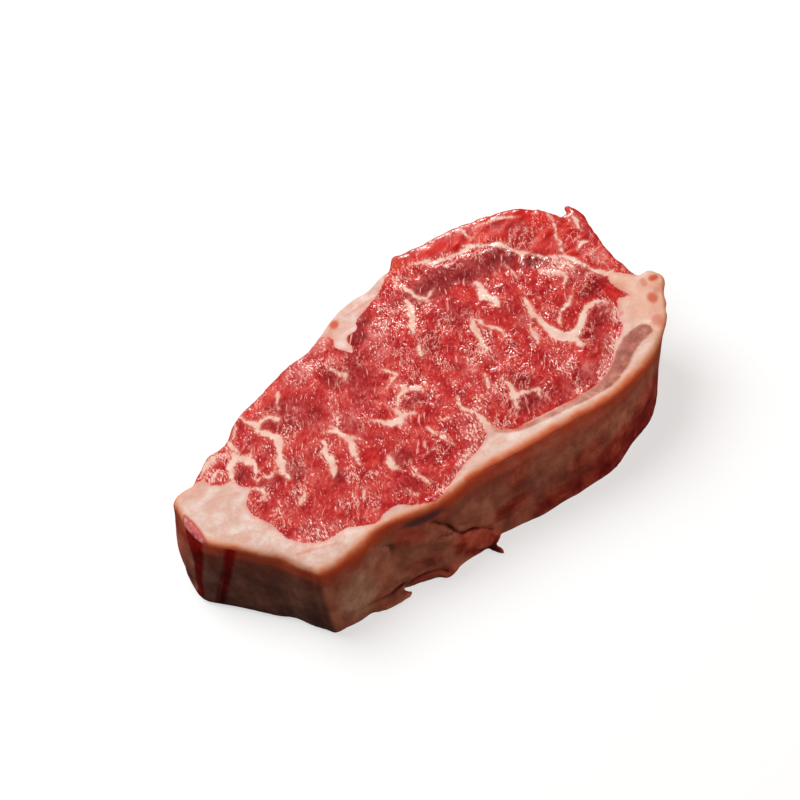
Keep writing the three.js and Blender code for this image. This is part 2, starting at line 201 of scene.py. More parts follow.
# Where a mauve film of sinew or a dusting of fat lies over the lean, and in part a painted
# sheen: the same spots whiten the lean where it shines.
HAZE_SPOTS = [
    (-21, 34.6, 6, 3.4, 20, 1), (-31, 33, 8, 2.4, 15, 0.8), (77, 3, 4, 6, 0, 0.8),
    (-47, -8, 3, 5, 0, 0.6), (-61, -35, 4, 3, 0, 0.6), (64, 42, 3, 3, 0, 0.5),
    (1, -42, 6, 3, 25, 1), (-7, -46, 9, 2, 22, 1), (2.4, -30, 5, 5, 0, 0.7),
    (17.6, -9, 4, 6, 0, 0.5), (47.5, -5, 4, 5, 0, 0.9), (91, 26, 2.4, 7, 0, 1),
    (51.6, -40, 5, 4, 40, 0.8), (74, -17.6, 4, 3, 40, 0.8), (-29.6, -3, 5, 5, 0, 0.8),
    (-70, -14.4, 4, 4, 0, 0.5), (-60.6, 3.5, 3, 4, 0, 0.6), (28, 41, 9, 4, 0, 0.3),
    (56, 50, 5, 3, -20, 0.9), (72, 9.6, 7.5, 5, -10, 1), (-79.4, 11.4, 4.6, 2.8, 25, 1),
    (-71.5, 10, 4, 3.4, 0, 0.6), (3, -36, 6, 4.5, 10, 0.8), (-12, -49.6, 13, 2, 22, 0.8),
    (-34, 27, 9, 5, 15, 1), (-2, 22, 5, 12, -28, 0.9), (24, 25, 4, 5, -20, 0.35),
    (46, -44, 16, 2.2, 0, 0.5), (64, -34.6, 8, 2.6, 42, 1), (75, -24, 5, 3, 45, 0.9),
    (56, -42, 8, 2.2, 42, 1), (-59, -41, 7, 4, -10, 0.8), (-68, -38, 4, 4, 0, 0.5),
    (48, -24, 7, 4, 30, 0.3), (46, -32, 6, 4, 50, 0.4), (38, 45.6, 7, 2.4, -10, 0.8),
    (-40, 2, 5, 5, 0, 0.6), (27, -10.7, 4, 5, 0, 0.6), (-22, 1, 4, 4, 0, 0.6),
    (-81, 4, 4, 4, 0, 0.7), (14, -28, 6, 5, 0, 0.5), (38, 53.2, 11, 2, 0, 1),
    (50, 52.4, 9, 2.4, -6, 1), (87, 4, 3, 6, 0, 0.9), (85, 14.6, 2.4, 2, 0, 0.5),
    (92, 27, 2, 3.4, 0, 0.9), (-46, 0, 46, 42, 0, 0.2), (-37, -3, 5, 3, 0, 0.6),
    (-64, -26, 5, 3, 0, 0.4), (14, 35, 4, 5, -30, 0.5),
]
# Blood showing through fat.
STAIN_SPOTS = [
    (-10.5, 40.7, 2.6, 2, 60, 1), (-15, 37, 3, 1.6, 40, 0.3), (89.8, -25.6, 3, 2.2, 70, 0.9),
    (93, -23.6, 2, 1.6, 50, 0.5), (95.8, -18, 2.3, 1.7, 0, 1), (91.6, -17.6, 2.6, 1.4, 80, 0.5),
    (84.4, -31.6, 2.4, 0.6, 60, 0.3), (84.4, -35.6, 2.4, 3.4, -30, 0.6),
    (94, -22, 3, 3, 0, 0.25), (88, -30, 2, 4, -40, 0.25), (84.8, -13.5, 4, 2.2, -60, 0.22),
    (77, -24, 1.1, 0.8, 20, 0.6), (3, 42.2, 9, 0.8, 3, 0.4), (18, 48.6, 3, 1.4, 60, 0.5),
    (24, 52.6, 3.6, 1.5, 66, 0.6), (-90, 1.6, 3.4, 1.6, -10, 0.16), (-79, -7, 2.6, 1, -35, 0.2),
    (86, -24, 9, 9, 0, 0.12), (-8, 37.4, 4, 3, 0, 0.15), (-67, -46.2, 9, 0.7, -19, 0.4),
    (-88, 4, 5, 1.6, 20, 0.16), (-84, -12, 3, 5, 20, 0.12), (-86, -26, 4, 1.6, -60, 0.14),
    (12, -41.6, 3.4, 0.8, -38, 0.5), (19, -45.6, 4, 0.9, -18, 0.5),
]
# Where the lean has bloomed bright red in the air.
BLOOM_SPOTS = [
    (79, 40, 9, 4.6, -48, 1), (37, 50.4, 10, 2.4, -4, 0.8), (23.6, 51.6, 2, 4.6, -30, 0.8),
    (70.4, -30.6, 3, 2, 30, 0.9), (-54, 23.6, 5, 1.8, 25, 0.8), (-43, 25, 8, 5, 20, 0.5),
    (79.6, -13, 2.4, 7, 0, 0.3), (63, 41, 3, 5, 30, 0.4), (30, -29, 2, 4, -20, 0.5),
    (-33, -24, 5, 4, 0, 0.5), (-16, -11, 4, 3, 0, 0.5), (86, -1, 2.4, 6, -20, 0.5),
    (36, 20, 5, 5, 0, 0.4),
]
# Where the cut face is wet and ruffled, so it glistens. The pale flecks are thickened there too,
# as painted glints.
WET_SPOTS = [
    (57, -41.5, 9, 2.6, 42, 1), (66, -32.5, 8, 3, 45, 1), (75, -23.6, 7, 3.4, 52, 1),
    (47, -31, 7, 6, 50, 0.7), (70, -15, 6, 3, 20, 0.5), (46, -42, 6, 3, 50, 0.5),
    (-67, -9, 3, 2, 60, 0.8), (-36, -27, 6, 4, 0, 0.7), (-52, -33, 7, 5, 0, 0.5),
    (-70, -20, 4, 6, 0, 0.4), (22, -26, 4, 3, 50, 0.6), (2, -32, 8, 8, 50, 0.5),
    (-14, -41, 12, 5, 0, 0.5), (-35, 22, 10, 6, 10, 0.5), (65, 8, 8, 4, 60, 0.5),
    (36, -18, 8, 6, 60, 0.3),
]
# Thin blood run down the tail, each run from the rim to the base: y, z, width.
BLOOD_RUNS = [
    [(-10.8, 39, 14), (-12, 34, 11), (-14.2, 29, 8), (-16, 24, 5), (-15.4, 14, 3.4),
     (-14, 2, 4.4)],
    [(-26.8, 38, 2), (-26.4, 34, 3.6), (-25.8, 23, 2.8), (-23.8, 11.4, 2.4), (-20.6, 0, 2.6)],
    [(-25.6, 30, 0.9), (-24.1, 19.9, 1.1), (-21.6, 9, 1), (-19.4, 0, 1)],
]
# The side of the fat cap, seen from the front: x along it, z up it.
# Where it is ruddy: x, z, half length, half height, turn in degrees, strength.
RUDDY_SPOTS = [
    (-12, 7, 13, 6, -38, 1), (-37, 27, 7, 3.4, -20, 0.8), (-34, 12, 9, 3, 12, 0.5),
    (-48, 8, 12, 2.4, 8, 0.6), (8, 27, 7, 5, 70, 0.55), (4, 14, 9, 4, 20, 0.8),
    (24, 7, 14, 4, 5, 0.8), (36, 20, 10, 4, 25, 0.6), (52, 10, 16, 9, 0, 1),
    (72, 12, 12, 13, 0, 1), (-60, 26, 6, 3, 0, 0.35), (-8, 34, 24, 1.4, 0, 0.5),
    (-30, 4, 10, 3, 0, 0.7),
]
# Where it is clean, dry and pale.
PALE_SPOTS = [(-60, 16, 8, 12, 0, 0.9), (-48, 28, 6, 5, 0, 0.6), (-46, 8, 8, 3, 8, 0.4)]
# Bruised purple-grey patches on it.
BRUISE_SPOTS = [(-29, 31.6, 8, 1.7, 4, 0.9), (-16, 28, 8, 2, 20, 0.35), (14, 20, 5, 7, 20, 0.3)]
# Creases in it, where the trimmed flap and the loose folds lift: x, z, width. Each is cut in
# as a groove and painted dark as the shade inside it.
CREASES = [
    [(-28, 28.4, 0.2), (-26.1, 27.8, 0.9), (-22.9, 24.9, 1), (-21, 22.6, 1.5), (-18.3, 18, 1),
     (-16, 15.2, 1.3), (-12.6, 13.6, 1.5), (-8.4, 10.6, 0.7), (-4.6, 6.6, 0.8)],
    [(-4.6, 3.6, 0.8), (-7, 2, 1.1), (-11.5, 2.4, 0.9), (-15, 4, 0.2)],
    [(-42, 2.2, 0.5), (-36.4, 4.6, 1), (-30, 5.4, 0.5), (-26.6, 3.6, 1)],
    [(-42.6, 3.8, 1.4), (-47, 3.6, 0.9), (-55, 5.4, 0.6), (-62, 7.4, 0.2)],
    [(-46, 27, 0.2), (-43.4, 25.4, 0.7), (-43.8, 22.6, 0.2)],
    [(-27.6, 22.4, 0.2), (-21.6, 20.4, 0.6), (-16, 19.6, 0.2)],
]

# Where the side swells out a little, or draws in: x, y, z, radius, millimetres.
SWELLS = [
    (-90, -32, 3, 8, 0.9), (-84, -38.5, 3, 6, 0.6), (-104, -15, 1, 5, 0.7),
    (-103, -4, 17, 6, 0.8), (-105, -10, 7, 4, -0.9), (3, -56.5, 2, 6, 0.9),
    (14, -57.6, 2, 7, 0.8), (-9, -59, 4, 4, 1), (-5, -57.5, 4, 2.6, 0.8),
    (-18, -59.5, 4, 3.4, -0.9), (-27.5, -60.5, 1.5, 2.6, 0.9), (-41, -58, 1.5, 2.2, 0.9),
    (76, -44, 9, 7, -0.7), (99, -18, 37, 3, 0.5), (96.2, -14.4, 39, 2, 0.9),
    (91.6, -13, 39, 2, -0.4), (94, 22, 38, 5, -0.8), (25.6, 55.6, 38, 2.2, 1.1),
    (20, 52.4, 38, 2.5, -0.6), (8.4, 47.6, 38, 4, -0.7), (-86, 8.6, 35, 2.4, 0.6),
    (-78, 14, 35, 3, 0.7), (-98, 3.6, 34, 3, 0.5), (-5.4, -63, 1.4, 2.6, 0.5),
    (-71.6, -33.2, 34.6, 2.8, 0.45), (-65.6, -40, 34.9, 2.6, 0.2),
]
# The sharp corner between the tail's face and the cap: x, y, z and width of its ridge.
TAIL_CORNER = [(-70.6, -54.4, 36, 3), (-71.4, -56.4, 20, 4), (-71.6, -57, 0, 4)]

# How the layers wander on the way down through the slice, in millimetres.
BASE_DRIFT = (5, 1.5)  # how far a muscle has moved at the base
WANDER_REACH = 5  # how far its edges stray from that
WANDER_SIZE = 17  # over this distance
# How the edges of the fat seams stray: size, reach and seed.
RAGGED = ((4, 0.9, 31), (1.7, 0.5, 33))
OUTSIDE = -50  # a distance into a layer that means nowhere near it
# The height of a normal where the surface is side, and where it is cut face.
SIDE_NORMAL = 0.45
FACE_NORMAL = 0.8
TAIL_X = -80  # the tail's face, where blood has run down, is past this x
FILM_DEPTH = 3.5  # how far over the rim the tail's film of blood reaches

# Unevenness of the surface: height and size of its swells in millimetres, and the seed. In the
# lean the swells run along the grain.
LEAN_LUMPS = ((0.24, (7, 4, 20), 21), (0.2, (2.6, 1.7, 8), 22))
FAT_LUMPS = ((0.2, 9, 23), (0.06, 3, 24))
SIDE_LUMPS = ((0.25, (8, 8, 14), 25), (0.1, (3.4, 3.4, 9), 26))
NUB_LUMPS = ((0.5, 4.2, 27),)
LUMP_CELLS = 64  # their lattice repeats after this many swells
# How much smoother it is, as a share: where lean and fat meet, in dark lean and in the chain.
BORDER_CALM = 0.7
DARK_CALM = 0.85
CHAIN_CALM = 0.5
# Heights and depths in millimetres.
MARBLING_RISE = 0.06
CREASE_DEPTH = 0.9
FRONT_ROUNDING = 1.5
TAIL_ROUNDING = 0.5
TAIL_CORNER_RISE = 0.225  # as a share of how far a place is inside the corner's ridge


def linear(shade):
    """An sRGB hex colour as the linear colour the shaders take."""
    channels = [int(shade[i:i + 2], 16) / 255 for i in (1, 3, 5)]
    return [c / 12.92 if c <= 0.04045 else ((c + 0.055) / 1.055) ** 2.4 for c in channels] + [1]


def ease(low, high, value):
    """0 at low and before it, 1 at high and past it, smooth between. It falls if low is above."""
    share = np.clip((value - low) / (high - low), 0, 1)
    return share * share * (3 - 2 * share)


def turned(angle):
    """The matrix that brings rows of x and y into axes turned by an angle."""
    return np.array([[math.cos(angle), -math.sin(angle)], [math.sin(angle), math.cos(angle)]])


def flowing(path, parts=3, closed=False):
    """A smooth curve through the path's points, with `parts` pieces between two of them."""
    knots = np.array(path, float)
    before = np.roll(knots, 1, 0) if closed else np.vstack([knots[:1], knots[:-1]])
    after = np.roll(knots, -1, 0) if closed else np.vstack([knots[1:], knots[-1:]])
    slopes = (after - before) / 2
    out = []
    for i in range(len(knots) if closed else len(knots) - 1):
        j = (i + 1) % len(knots)
        for t in np.arange(parts) / parts:
            out.append((2 * t**3 - 3 * t**2 + 1) * knots[i] + (t**3 - 2 * t**2 + t) * slopes[i]
                       + (3 * t**2 - 2 * t**3) * knots[j] + (t**3 - t**2) * slopes[j])
    out.append(knots[0] if closed else knots[-1])
    return np.array(out)


def inside_path(places, path):
    """How far each place is inside a tapering stroke: its half width less the distance."""
    deepest = np.full(len(places), -np.inf)
    size = places.shape[1]
    for start, end in zip(path, path[1:]):
        leg = end[:size] - start[:size]
        share = np.clip((places - start[:size]) @ leg / (leg @ leg), 0, 1)
        gap = np.linalg.norm(places - start[:size] - share[:, None] * leg, axis=1)
        deepest = np.maximum(deepest, start[size] + share * (end[size] - start[size]) - gap)
    return deepest


def inside_strokes(places, paths):
    """How far each place is inside any of the smooth strokes, whose last column is the width."""
    deepest = np.full(len(places), -np.inf)
    for path in paths:
        stroke = flowing(path)
        stroke[:, -1] /= 2
        deepest = np.maximum(deepest, inside_path(places, stroke))
    return deepest


def inside_outline(places, outline):
    """How far each place is inside a closed outline, negative outside."""
    ring = flowing(outline, closed=True)
    edge = -inside_path(places, np.hstack([ring, np.zeros((len(ring), 1))]))
    held = np.zeros(len(places), bool)
    x, y = places.T
    for (xa, ya), (xb, yb) in zip(ring, ring[1:]):
        if ya != yb:
            held ^= ((ya > y) != (yb > y)) & (x < xa + (y - ya) * (xb - xa) / (yb - ya))
    return np.where(held, edge, -edge)


def inside_spots(places, spots):
    """The strongest of a list of soft-edged oval spots at each place, 0 to 1."""
    out = np.zeros(len(places))
    for x, y, half_length, half_width, turn, strength in spots:
        local = (places - (x, y)) @ turned(math.radians(turn))
        gap = np.hypot(local[:, 0] / half_length, local[:, 1] / half_width)
        out = np.maximum(out, strength * (1 - ease(0.55, 1.35, gap)))
    return out


def lumps(places, size, seed):
    """Smooth seeded unevenness from -1 to 1, with swells `size` millimetres across."""
    lattice = np.random.default_rng(seed).uniform(-1, 1, (LUMP_CELLS,) * 3)
    scaled = places / np.array(size, float)
    low = np.floor(scaled).astype(int)
    share = scaled - low
    share = share * share * (3 - 2 * share)
    total = np.zeros(len(places))
    for corner in itertools.product((0, 1), repeat=3):
        weight = np.prod(np.where(corner, share, 1 - share), axis=1)
        total += weight * lattice[tuple(((low + corner) % LUMP_CELLS).T)]
    return total


def uneven(places, table):
    """The heights of a table of lumps together, in millimetres."""
    return sum(height * lumps(places, size, seed) for height, size, seed in table)


def wander(places, size, seed):
    """A seeded sideways step for each place, up to 1 in x and in y."""
    return np.stack([lumps(places, size, seed), lumps(places, size, seed + 1)], 1)


def fine_skin(node):
    """The CAD solid as a dense, evenly celled, softened mesh."""
    piece = bpy.data.objects.new("sirloin_steak", node.data.copy())
    bpy.context.scene.collection.objects.link(piece)
    cells = piece.modifiers.new("even cells", "REMESH")
    cells.mode = "VOXEL"
    cells.voxel_size = SKIN_CELL * MM
    soften = piece.modifiers.new("soften", "SMOOTH")
    soften.iterations = SOFTEN_PASSES
    graph = bpy.context.evaluated_depsgraph_get()
    mesh = bpy.data.meshes.new_from_object(piece.evaluated_get(graph))
    piece.modifiers.clear()
    piece.data = mesh
    mesh.name = "sirloin_steak"
    mesh.materials.clear()
    mesh.shade_smooth()
    return piece


def read(items, kind):
    """Three values of each mesh item as an array of rows."""
    values = np.empty(len(items) * 3, np.float32)
    items.foreach_get(kind, values)
    return values.reshape(-1, 3).astype(float)


# ---------------------------------------------------------------- the mesh
piece = fine_skin(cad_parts["steak"])
mesh = piece.data
places = read(mesh.vertices, "co") / MM
normals = read(mesh.vertex_normals, "vector")
x, y, z = places.T

# Where each vertex is in the slice: how deep under the upper cut face, and whether on the side.
depth = THICKNESS + RISE_ALONG * x + RISE_ACROSS * y - z
# What is deep and doesn't face down belongs to the side too, such as the tops of the shreds.
# Here and below, each ease() over a place or a distance runs between two values in millimetres.
upright = 1 - ease(SIDE_NORMAL, FACE_NORMAL, np.abs(normals[:, 2]))
deep = (depth > 20) & (normals[:, 2] > -0.5)
side = np.maximum(upright, deep) * ease(0.8, 3.2, depth)

# How far from the rim: millimetres down the side, or minus the millimetres in on the cut face.
on_rim = np.flatnonzero((upright > 0.5) & (np.abs(depth - RIM_DEPTH) < 0.6))
rim_tree = KDTree(len(on_rim))
for i in on_rim:
    rim_tree.insert(places[i], int(i))
rim_tree.balance()
from_rim = np.where(upright > 0.5, depth - RIM_DEPTH, 0)
for i in np.flatnonzero((upright <= 0.5) & (depth < THICKNESS / 2)):
    from_rim[i] = -rim_tree.find(places[i])[2]
from_rim[(upright <= 0.5) & (depth >= THICKNESS / 2)] = THICKNESS

# ---------------------------------------------------------------- the layers of the meat
# The layers run through the slice and drift sideways on the way down, so the base is cut
# through the same muscles in other places.
drift = ease(4, THICKNESS, depth)[:, None]
plan = places[:, :2] + drift * (np.array(BASE_DRIFT)
                                + WANDER_REACH * wander(places, WANDER_SIZE, 11))
fat = np.maximum(-inside_outline(plan, LEAN), inside_outline(plan, BACK_WEDGE))
ragged = plan.copy()
for size, reach, seed in RAGGED:
    ragged += reach * wander(places, size, seed)
vein = inside_strokes(ragged, SEAMS + VEINS)
silver = inside_outline(plan, SILVERSKIN)
chain = inside_outline(plan, CHAIN)
dark, haze_and_painted_sheen, stain, wet_with_painted_glints, bloom = (
    inside_spots(plan, spots) * (1 - side)
    for spots in (DARK_SPOTS, HAZE_SPOTS, STAIN_SPOTS, WET_SPOTS, BLOOM_SPOTS))
peach = (1 - side) * ease(72, 84, x)
film = np.where(depth < FILM_DEPTH, inside_outline(plan, TAIL_FILM), OUTSIDE)
blood = inside_strokes(places[:, 1:], BLOOD_RUNS)
blood = np.where(x < TAIL_X, np.minimum(blood, 8 * (side - 0.3)), OUTSIDE)

# The side of the fat cap: ruddy, clean and bruised in places, with painted shade in its
# creases, and dark red at its foot towards the broad end, partly reddened fat and partly painted
# shade.
front = places[:, ::2]
on_cap = ease(-20, -40, y) * ease(-82, -70, x)
ruddy = side * np.maximum(inside_spots(front, RUDDY_SPOTS) * on_cap,
                          0.8 * ease(-94, -101, x) * ease(-14, -4, y))
clean = side * on_cap * inside_spots(front, PALE_SPOTS)
bruise = side * on_cap * inside_spots(front, BRUISE_SPOTS)
# Painted shade: the cap's side turns dark red towards its foot at the broad end.
red_and_shaded_foot = side * on_cap * ease(-20, 46, x) * ease(27, 6, z)
crease = np.where(on_cap > 0.5, inside_strokes(front, CREASES), OUTSIDE)

# How far from the rim, for the painted glow of light soaking into the fat: it starts further
# in along the front shoulder, and further down at the broad end and at the back.
shoulder = ease(-20, 5, x) * (1 - ease(52, 76, x)) * ease(-20, -35, y)
tail_face = ease(-66, -76, x) * ease(4, -4, y)
soak = from_rim + 1.8 * shoulder - 1.2 * ease(62, 78, x) - 2 * ease(15, 30, y)

# ---------------------------------------------------------------- relief along the normals
lean = 1 - ease(-0.8, 0.8, fat)
seamed = ease(-0.2, 0.6, vein)
border = ease(3, 0, np.abs(fat))
quiet = np.maximum(DARK_CALM * dark, CHAIN_CALM * ease(-1, 1.5, chain)) * ease(-1.5, -5, from_rim)
nub = ease(84, 90, x) * ease(-10, -16, y) * (1 - lean)
along_grain = np.hstack([places[:, :2] @ turned(GRAIN_TURN), places[:, 2:]])
relief = (lean * (1 - seamed) * (1 - quiet) * (1 - BORDER_CALM * border)
          * uneven(along_grain, LEAN_LUMPS))
relief += seamed * lean * MARBLING_RISE
rounding = FRONT_ROUNDING * shoulder + TAIL_ROUNDING * tail_face
relief -= rounding * (1 - ease(0, 4, np.abs(from_rim)))
relief += (1 - lean) * (1 - BORDER_CALM * border) * uneven(places, FAT_LUMPS)
relief -= CREASE_DEPTH * ease(-1.3, 0.4, crease)
relief += side * uneven(places, SIDE_LUMPS)
for *middle, radius, swell in SWELLS:
    relief += swell * np.exp(-((places - middle)**2).sum(1) / radius**2)
relief += TAIL_CORNER_RISE * np.maximum(inside_path(places, np.array(TAIL_CORNER, float)), 0)
relief += nub * uneven(places, NUB_LUMPS)
places += normals * relief[:, None]
places[:, 2] = np.maximum(places[:, 2], 0)
mesh.vertices.foreach_set("co", (places * MM).astype(np.float32).ravel())
mesh.update()

# What the material reads: distances into layers in millimetres, and shares from 0 to 1.
fields = dict(fat=fat, vein=vein, silver=silver, chain=chain, dark=dark, haze_and_painted_sheen=haze_and_painted_sheen, stain=stain,
              wet_with_painted_glints=wet_with_painted_glints, bloom=bloom, blood=blood, film=film, from_rim=from_rim, side=side,
              ruddy=ruddy, bruise=bruise, red_and_shaded_foot=red_and_shaded_foot, crease=crease, clean=clean,
              peach=peach, soak=soak)
for name, values in fields.items():
    layer = mesh.attributes.new(name, "FLOAT", "POINT")
    layer.data.foreach_set("value", np.clip(values, OUTSIDE, -OUTSIDE).astype(np.float32))

# ---------------------------------------------------------------- material
# Raw beef cut with a knife: the blade leaves the ends of the muscle bundles standing as small
# wet domes, which sparkle over deep red lean. The fat's cut is waxy and dull; light soaks into
# it, and its orange glow along the rim is partly painted into the colour. The cap's side is dried
# fat, matt and brown, and partly painted darker as the shade on that side.
RAW_BEEF = bpy.data.materials.new("knife_cut_raw_beef")
RAW_BEEF.use_nodes = True
tree = RAW_BEEF.node_tree
tree.nodes.clear()

# Socket numbers of the Mix node, for numbers and for colours.
LEVEL_A, LEVEL_B = 2, 3
SHADE_A, SHADE_B, SHADE = 6, 7, 2


def add(kind, links=None, **settings):
    """Adds a node with its settings, and links or sets its inputs. Returns the node."""
    node = tree.nodes.new(kind)
    for name, value in settings.items():
        setattr(node, name, value)
    for socket, source in (links or {}).items():
        if isinstance(source, bpy.types.NodeSocket):
            tree.links.new(source, node.inputs[socket])
        else:
            node.inputs[socket].default_value = source
    return node


def summed(total, *parts):
    """A field, or a level, plus other fields, each times its own amount."""
    for field, amount in parts:
        total = add("ShaderNodeMath", {0: field, 1: amount, 2: total},
                    operation="MULTIPLY_ADD").outputs[0]
    return total


def layered(colour, *layers):
    """A colour with other colours laid over it in turn, each as far as its share covers."""
    for cover, over in layers:
        colour = add("ShaderNodeMix", {0: cover, SHADE_A: colour, SHADE_B: over},
                     data_type="RGBA").outputs[SHADE]
    return colour


carried = {name: add("ShaderNodeAttribute", attribute_name=name).outputs["Fac"]
           for name in fields}

# The grain doesn't run straight: it swings by a few millimetres over a finger's width.
SWING_SIZE = 18 * MM
SWING_REACH = 6 * MM
where = add("ShaderNodeTexCoord").outputs["Object"]
swing = add("ShaderNodeTexNoise", {"Vector": where, "Scale": 1 / SWING_SIZE, "Detail": 1.0})
swing = add("ShaderNodeVectorMath", {0: swing.outputs["Color"], 1: (0.5, 0.5, 0.5)},
            operation="SUBTRACT")
swung = add("ShaderNodeVectorMath", {0: swing.outputs[0], 1: (SWING_REACH,) * 3, 2: where},
            operation="MULTIPLY_ADD").outputs[0]

# Coordinates in which one swell is this many millimetres along the grain, across it and down
# through the slice: muscle bundles are one to two millimetres wide, and the flecks and threads
# of fat between them half a millimetre. The last number is the turn off the grain in degrees.
grain_place = {}
for name, size, off_grain in (
        ("strokes", (1.3, 0.5, 9), 18), ("threads", (2.8, 0.4, 9), -22),
        ("streaks", (5.5, 0.7, 14), 0), ("bundles", (1.9, 1.2, 12), 0), ("web", (4, 1.8, 14), 0),
        ("chain", (7, 2, 14), -50), ("clusters", (11, 6, 25), 0)):
    grain_place[name] = add("ShaderNodeMapping", {
        "Vector": swung, "Rotation": (0, 0, GRAIN_TURN + math.radians(off_grain)),
        "Scale": [mm * MM for mm in size]}, vector_type="TEXTURE").outputs[0]
# Streaks down the sides, in millimetres too.
drip_place = add("ShaderNodeMapping", {"Vector": where, "Scale": (2.6 * MM, 2.6 * MM, 15 * MM)},
                 vector_type="TEXTURE").outputs[0]

# Noise fields from 0 to 1: name, coordinates, size of a swell in millimetres (or None where the
# coordinates are already scaled), detail, roughness, seed.
noise = {}
for name, place, size, detail, rough, seed in (
        ("strokes", grain_place["strokes"], None, 1, 0.5, 1.7),
        ("threads", grain_place["threads"], None, 1, 0.5, 6.3),
        ("streaks", grain_place["streaks"], None, 1, 0.5, 9.4),
        ("bundles", grain_place["bundles"], None, 1, 0.5, 3.1),
        ("web", grain_place["web"], None, 3, 0.6, 5.3),
        ("clusters", grain_place["clusters"], None, 2, 0.5, 7.9),
        ("ropes", grain_place["chain"], None, 2, 0.5, 6.7),
        ("drips", drip_place, None, 2, 0.5, 2.9),
        ("speckle", where, 0.75, 2, 0.6, 2.3),
        ("fray", where, 1.6, 3, 0.6, 8.2),
        ("patches", swung, 5.5, 2, 0.55, 1.1),
        ("mottle", where, 6, 3, 0.55, 4.1),
        ("folds", where, 9, 2, 0.5, 5.5)):
    noise[name] = add("ShaderNodeTexNoise", {
        "Vector": place, "W": seed, "Scale": 1 / (size * MM) if size else 1, "Detail": detail,
        "Roughness": rough}, noise_dimensions="4D").outputs["Fac"]
# The cut ends of the muscle bundles, domed and wet.
ends = add("ShaderNodeTexVoronoi", {"Vector": grain_place["bundles"], "Scale": 1.8,
                                    "Smoothness": 0.35}, feature="SMOOTH_F1")
end_tone = add("ShaderNodeSeparateColor", {"Color": ends.outputs["Color"]}).outputs[0]

# Frayed edges: the distances into the layers, pushed in and out by noise, in millimetres.
frayed = {}
for name, by, reach in (("fat", "fray", 1.6), ("vein", "strokes", 1.5), ("silver", "fray", 2),
                        ("chain", "mottle", 2.5), ("blood", "fray", 1.2), ("film", "fray", 0.8)):
    push = summed(-reach / 2, (noise[by], reach))
    frayed[name] = add("ShaderNodeMath", {0: carried[name], 1: push}, operation="ADD").outputs[0]
VEIN_SETBACK = 1.15  # taken off two further noises, which thin the veins out in places
frayed["vein"] = summed(frayed["vein"], (noise["fray"], 1.6), (noise["patches"], 2.0))
frayed["vein"] = add("ShaderNodeMath", {0: frayed["vein"], 1: VEIN_SETBACK},
                     operation="SUBTRACT").outputs[0]

# Lines where a noise crosses its middle: a web of fat in the lean, and folds in the fat.
line = {}
for name in ("web", "folds"):
    off_middle = add("ShaderNodeMath", {0: noise[name], 1: 0.5}, operation="SUBTRACT").outputs[0]
    line[name] = add("ShaderNodeMath", {0: off_middle}, operation="ABSOLUTE").outputs[0]

# Marbling too fine to draw, as strokes roughly along the grain: thicker near veins, thicker
# under haze and where it is wet, partly as painted sheen and glints, and thinner in dark and
# bright lean and in the chain.
near_vein = add("ShaderNodeMapRange", {"Value": carried["vein"], "From Min": -4.0,
                                       "From Max": 0.0, "To Max": 0.07}).outputs[0]
on_chain = add("ShaderNodeMapRange", {"Value": carried["chain"], "From Min": -1.0,
                                      "From Max": 1.5}).outputs[0]
flecked = summed(noise["strokes"], (noise["clusters"], 0.5), (near_vein, 1.0),
                 (carried["haze_and_painted_sheen"], 0.14), (carried["wet_with_painted_glints"], 0.07), (carried["dark"], -0.22),
                 (carried["bloom"], -0.2), (on_chain, -0.08))
streaked = summed(noise["streaks"], (noise["clusters"], -0.6), (on_chain, -0.03),
                  (carried["bloom"], -0.12))
threaded = summed(noise["threads"], (noise["bundles"], 0.5), (on_chain, -0.03),
                  (carried["bloom"], -0.12))

# How much of each layer shows, from 0 to 1: a soft step of its field between two values.
share = {}
for name, field, low, high in (
        ("fat", frayed["fat"], -0.25, 0.3), ("vein", frayed["vein"], 0.2, 1.1),
        ("silver", frayed["silver"], -0.5, 0.7), ("chain", frayed["chain"], -1, 1.5),
        ("blood", frayed["blood"], -0.6, 0.9), ("film", frayed["film"], -0.6, 0.8),
        ("halo", frayed["vein"], -0.8, 0.7), ("inner_film", carried["film"], 0.5, 1.3),
        ("near_lean", carried["fat"], 2.2, -0.2), ("fat_level", carried["fat"], -1.4, 1.4),
        ("crease", carried["crease"], -0.4, 0.5), ("rim", carried["from_rim"], -2.6, -0.8),
        ("side", carried["side"], 0.1, 0.9), ("flecks", flecked, 0.91, 0.99),
        ("threads", threaded, 0.92, 1.01), ("streaks", streaked, 0.39, 0.5),
        ("folds", line["folds"], 0.035, 0.0), ("web", line["web"], 0.03, 0.0),
        ("thin", noise["clusters"], 0.48, 0.6)):
    share[name] = add("ShaderNodeMapRange", {"Value": field, "From Min": low, "From Max": high},
                      interpolation_type="SMOOTHSTEP").outputs[0]
share["web"] = add("ShaderNodeMath", {0: share["web"], 1: share["thin"]},
                   operation="MULTIPLY").outputs[0]
# Layers that never cover fully.
faint = {}
for name, field, most in (
        ("haze_and_painted_sheen", carried["haze_and_painted_sheen"], 0.4), ("halo", share["halo"], 0.55),
        ("dried", share["side"], 0.7), ("near_lean", share["near_lean"], 0.4),
        ("vein", share["vein"], 0.6), ("folds", share["folds"], 0.2),
        ("peach", carried["peach"], 0.55)):
    faint[name] = add("ShaderNodeMath", {0: field, 1: most}, operation="MULTIPLY").outputs[0]

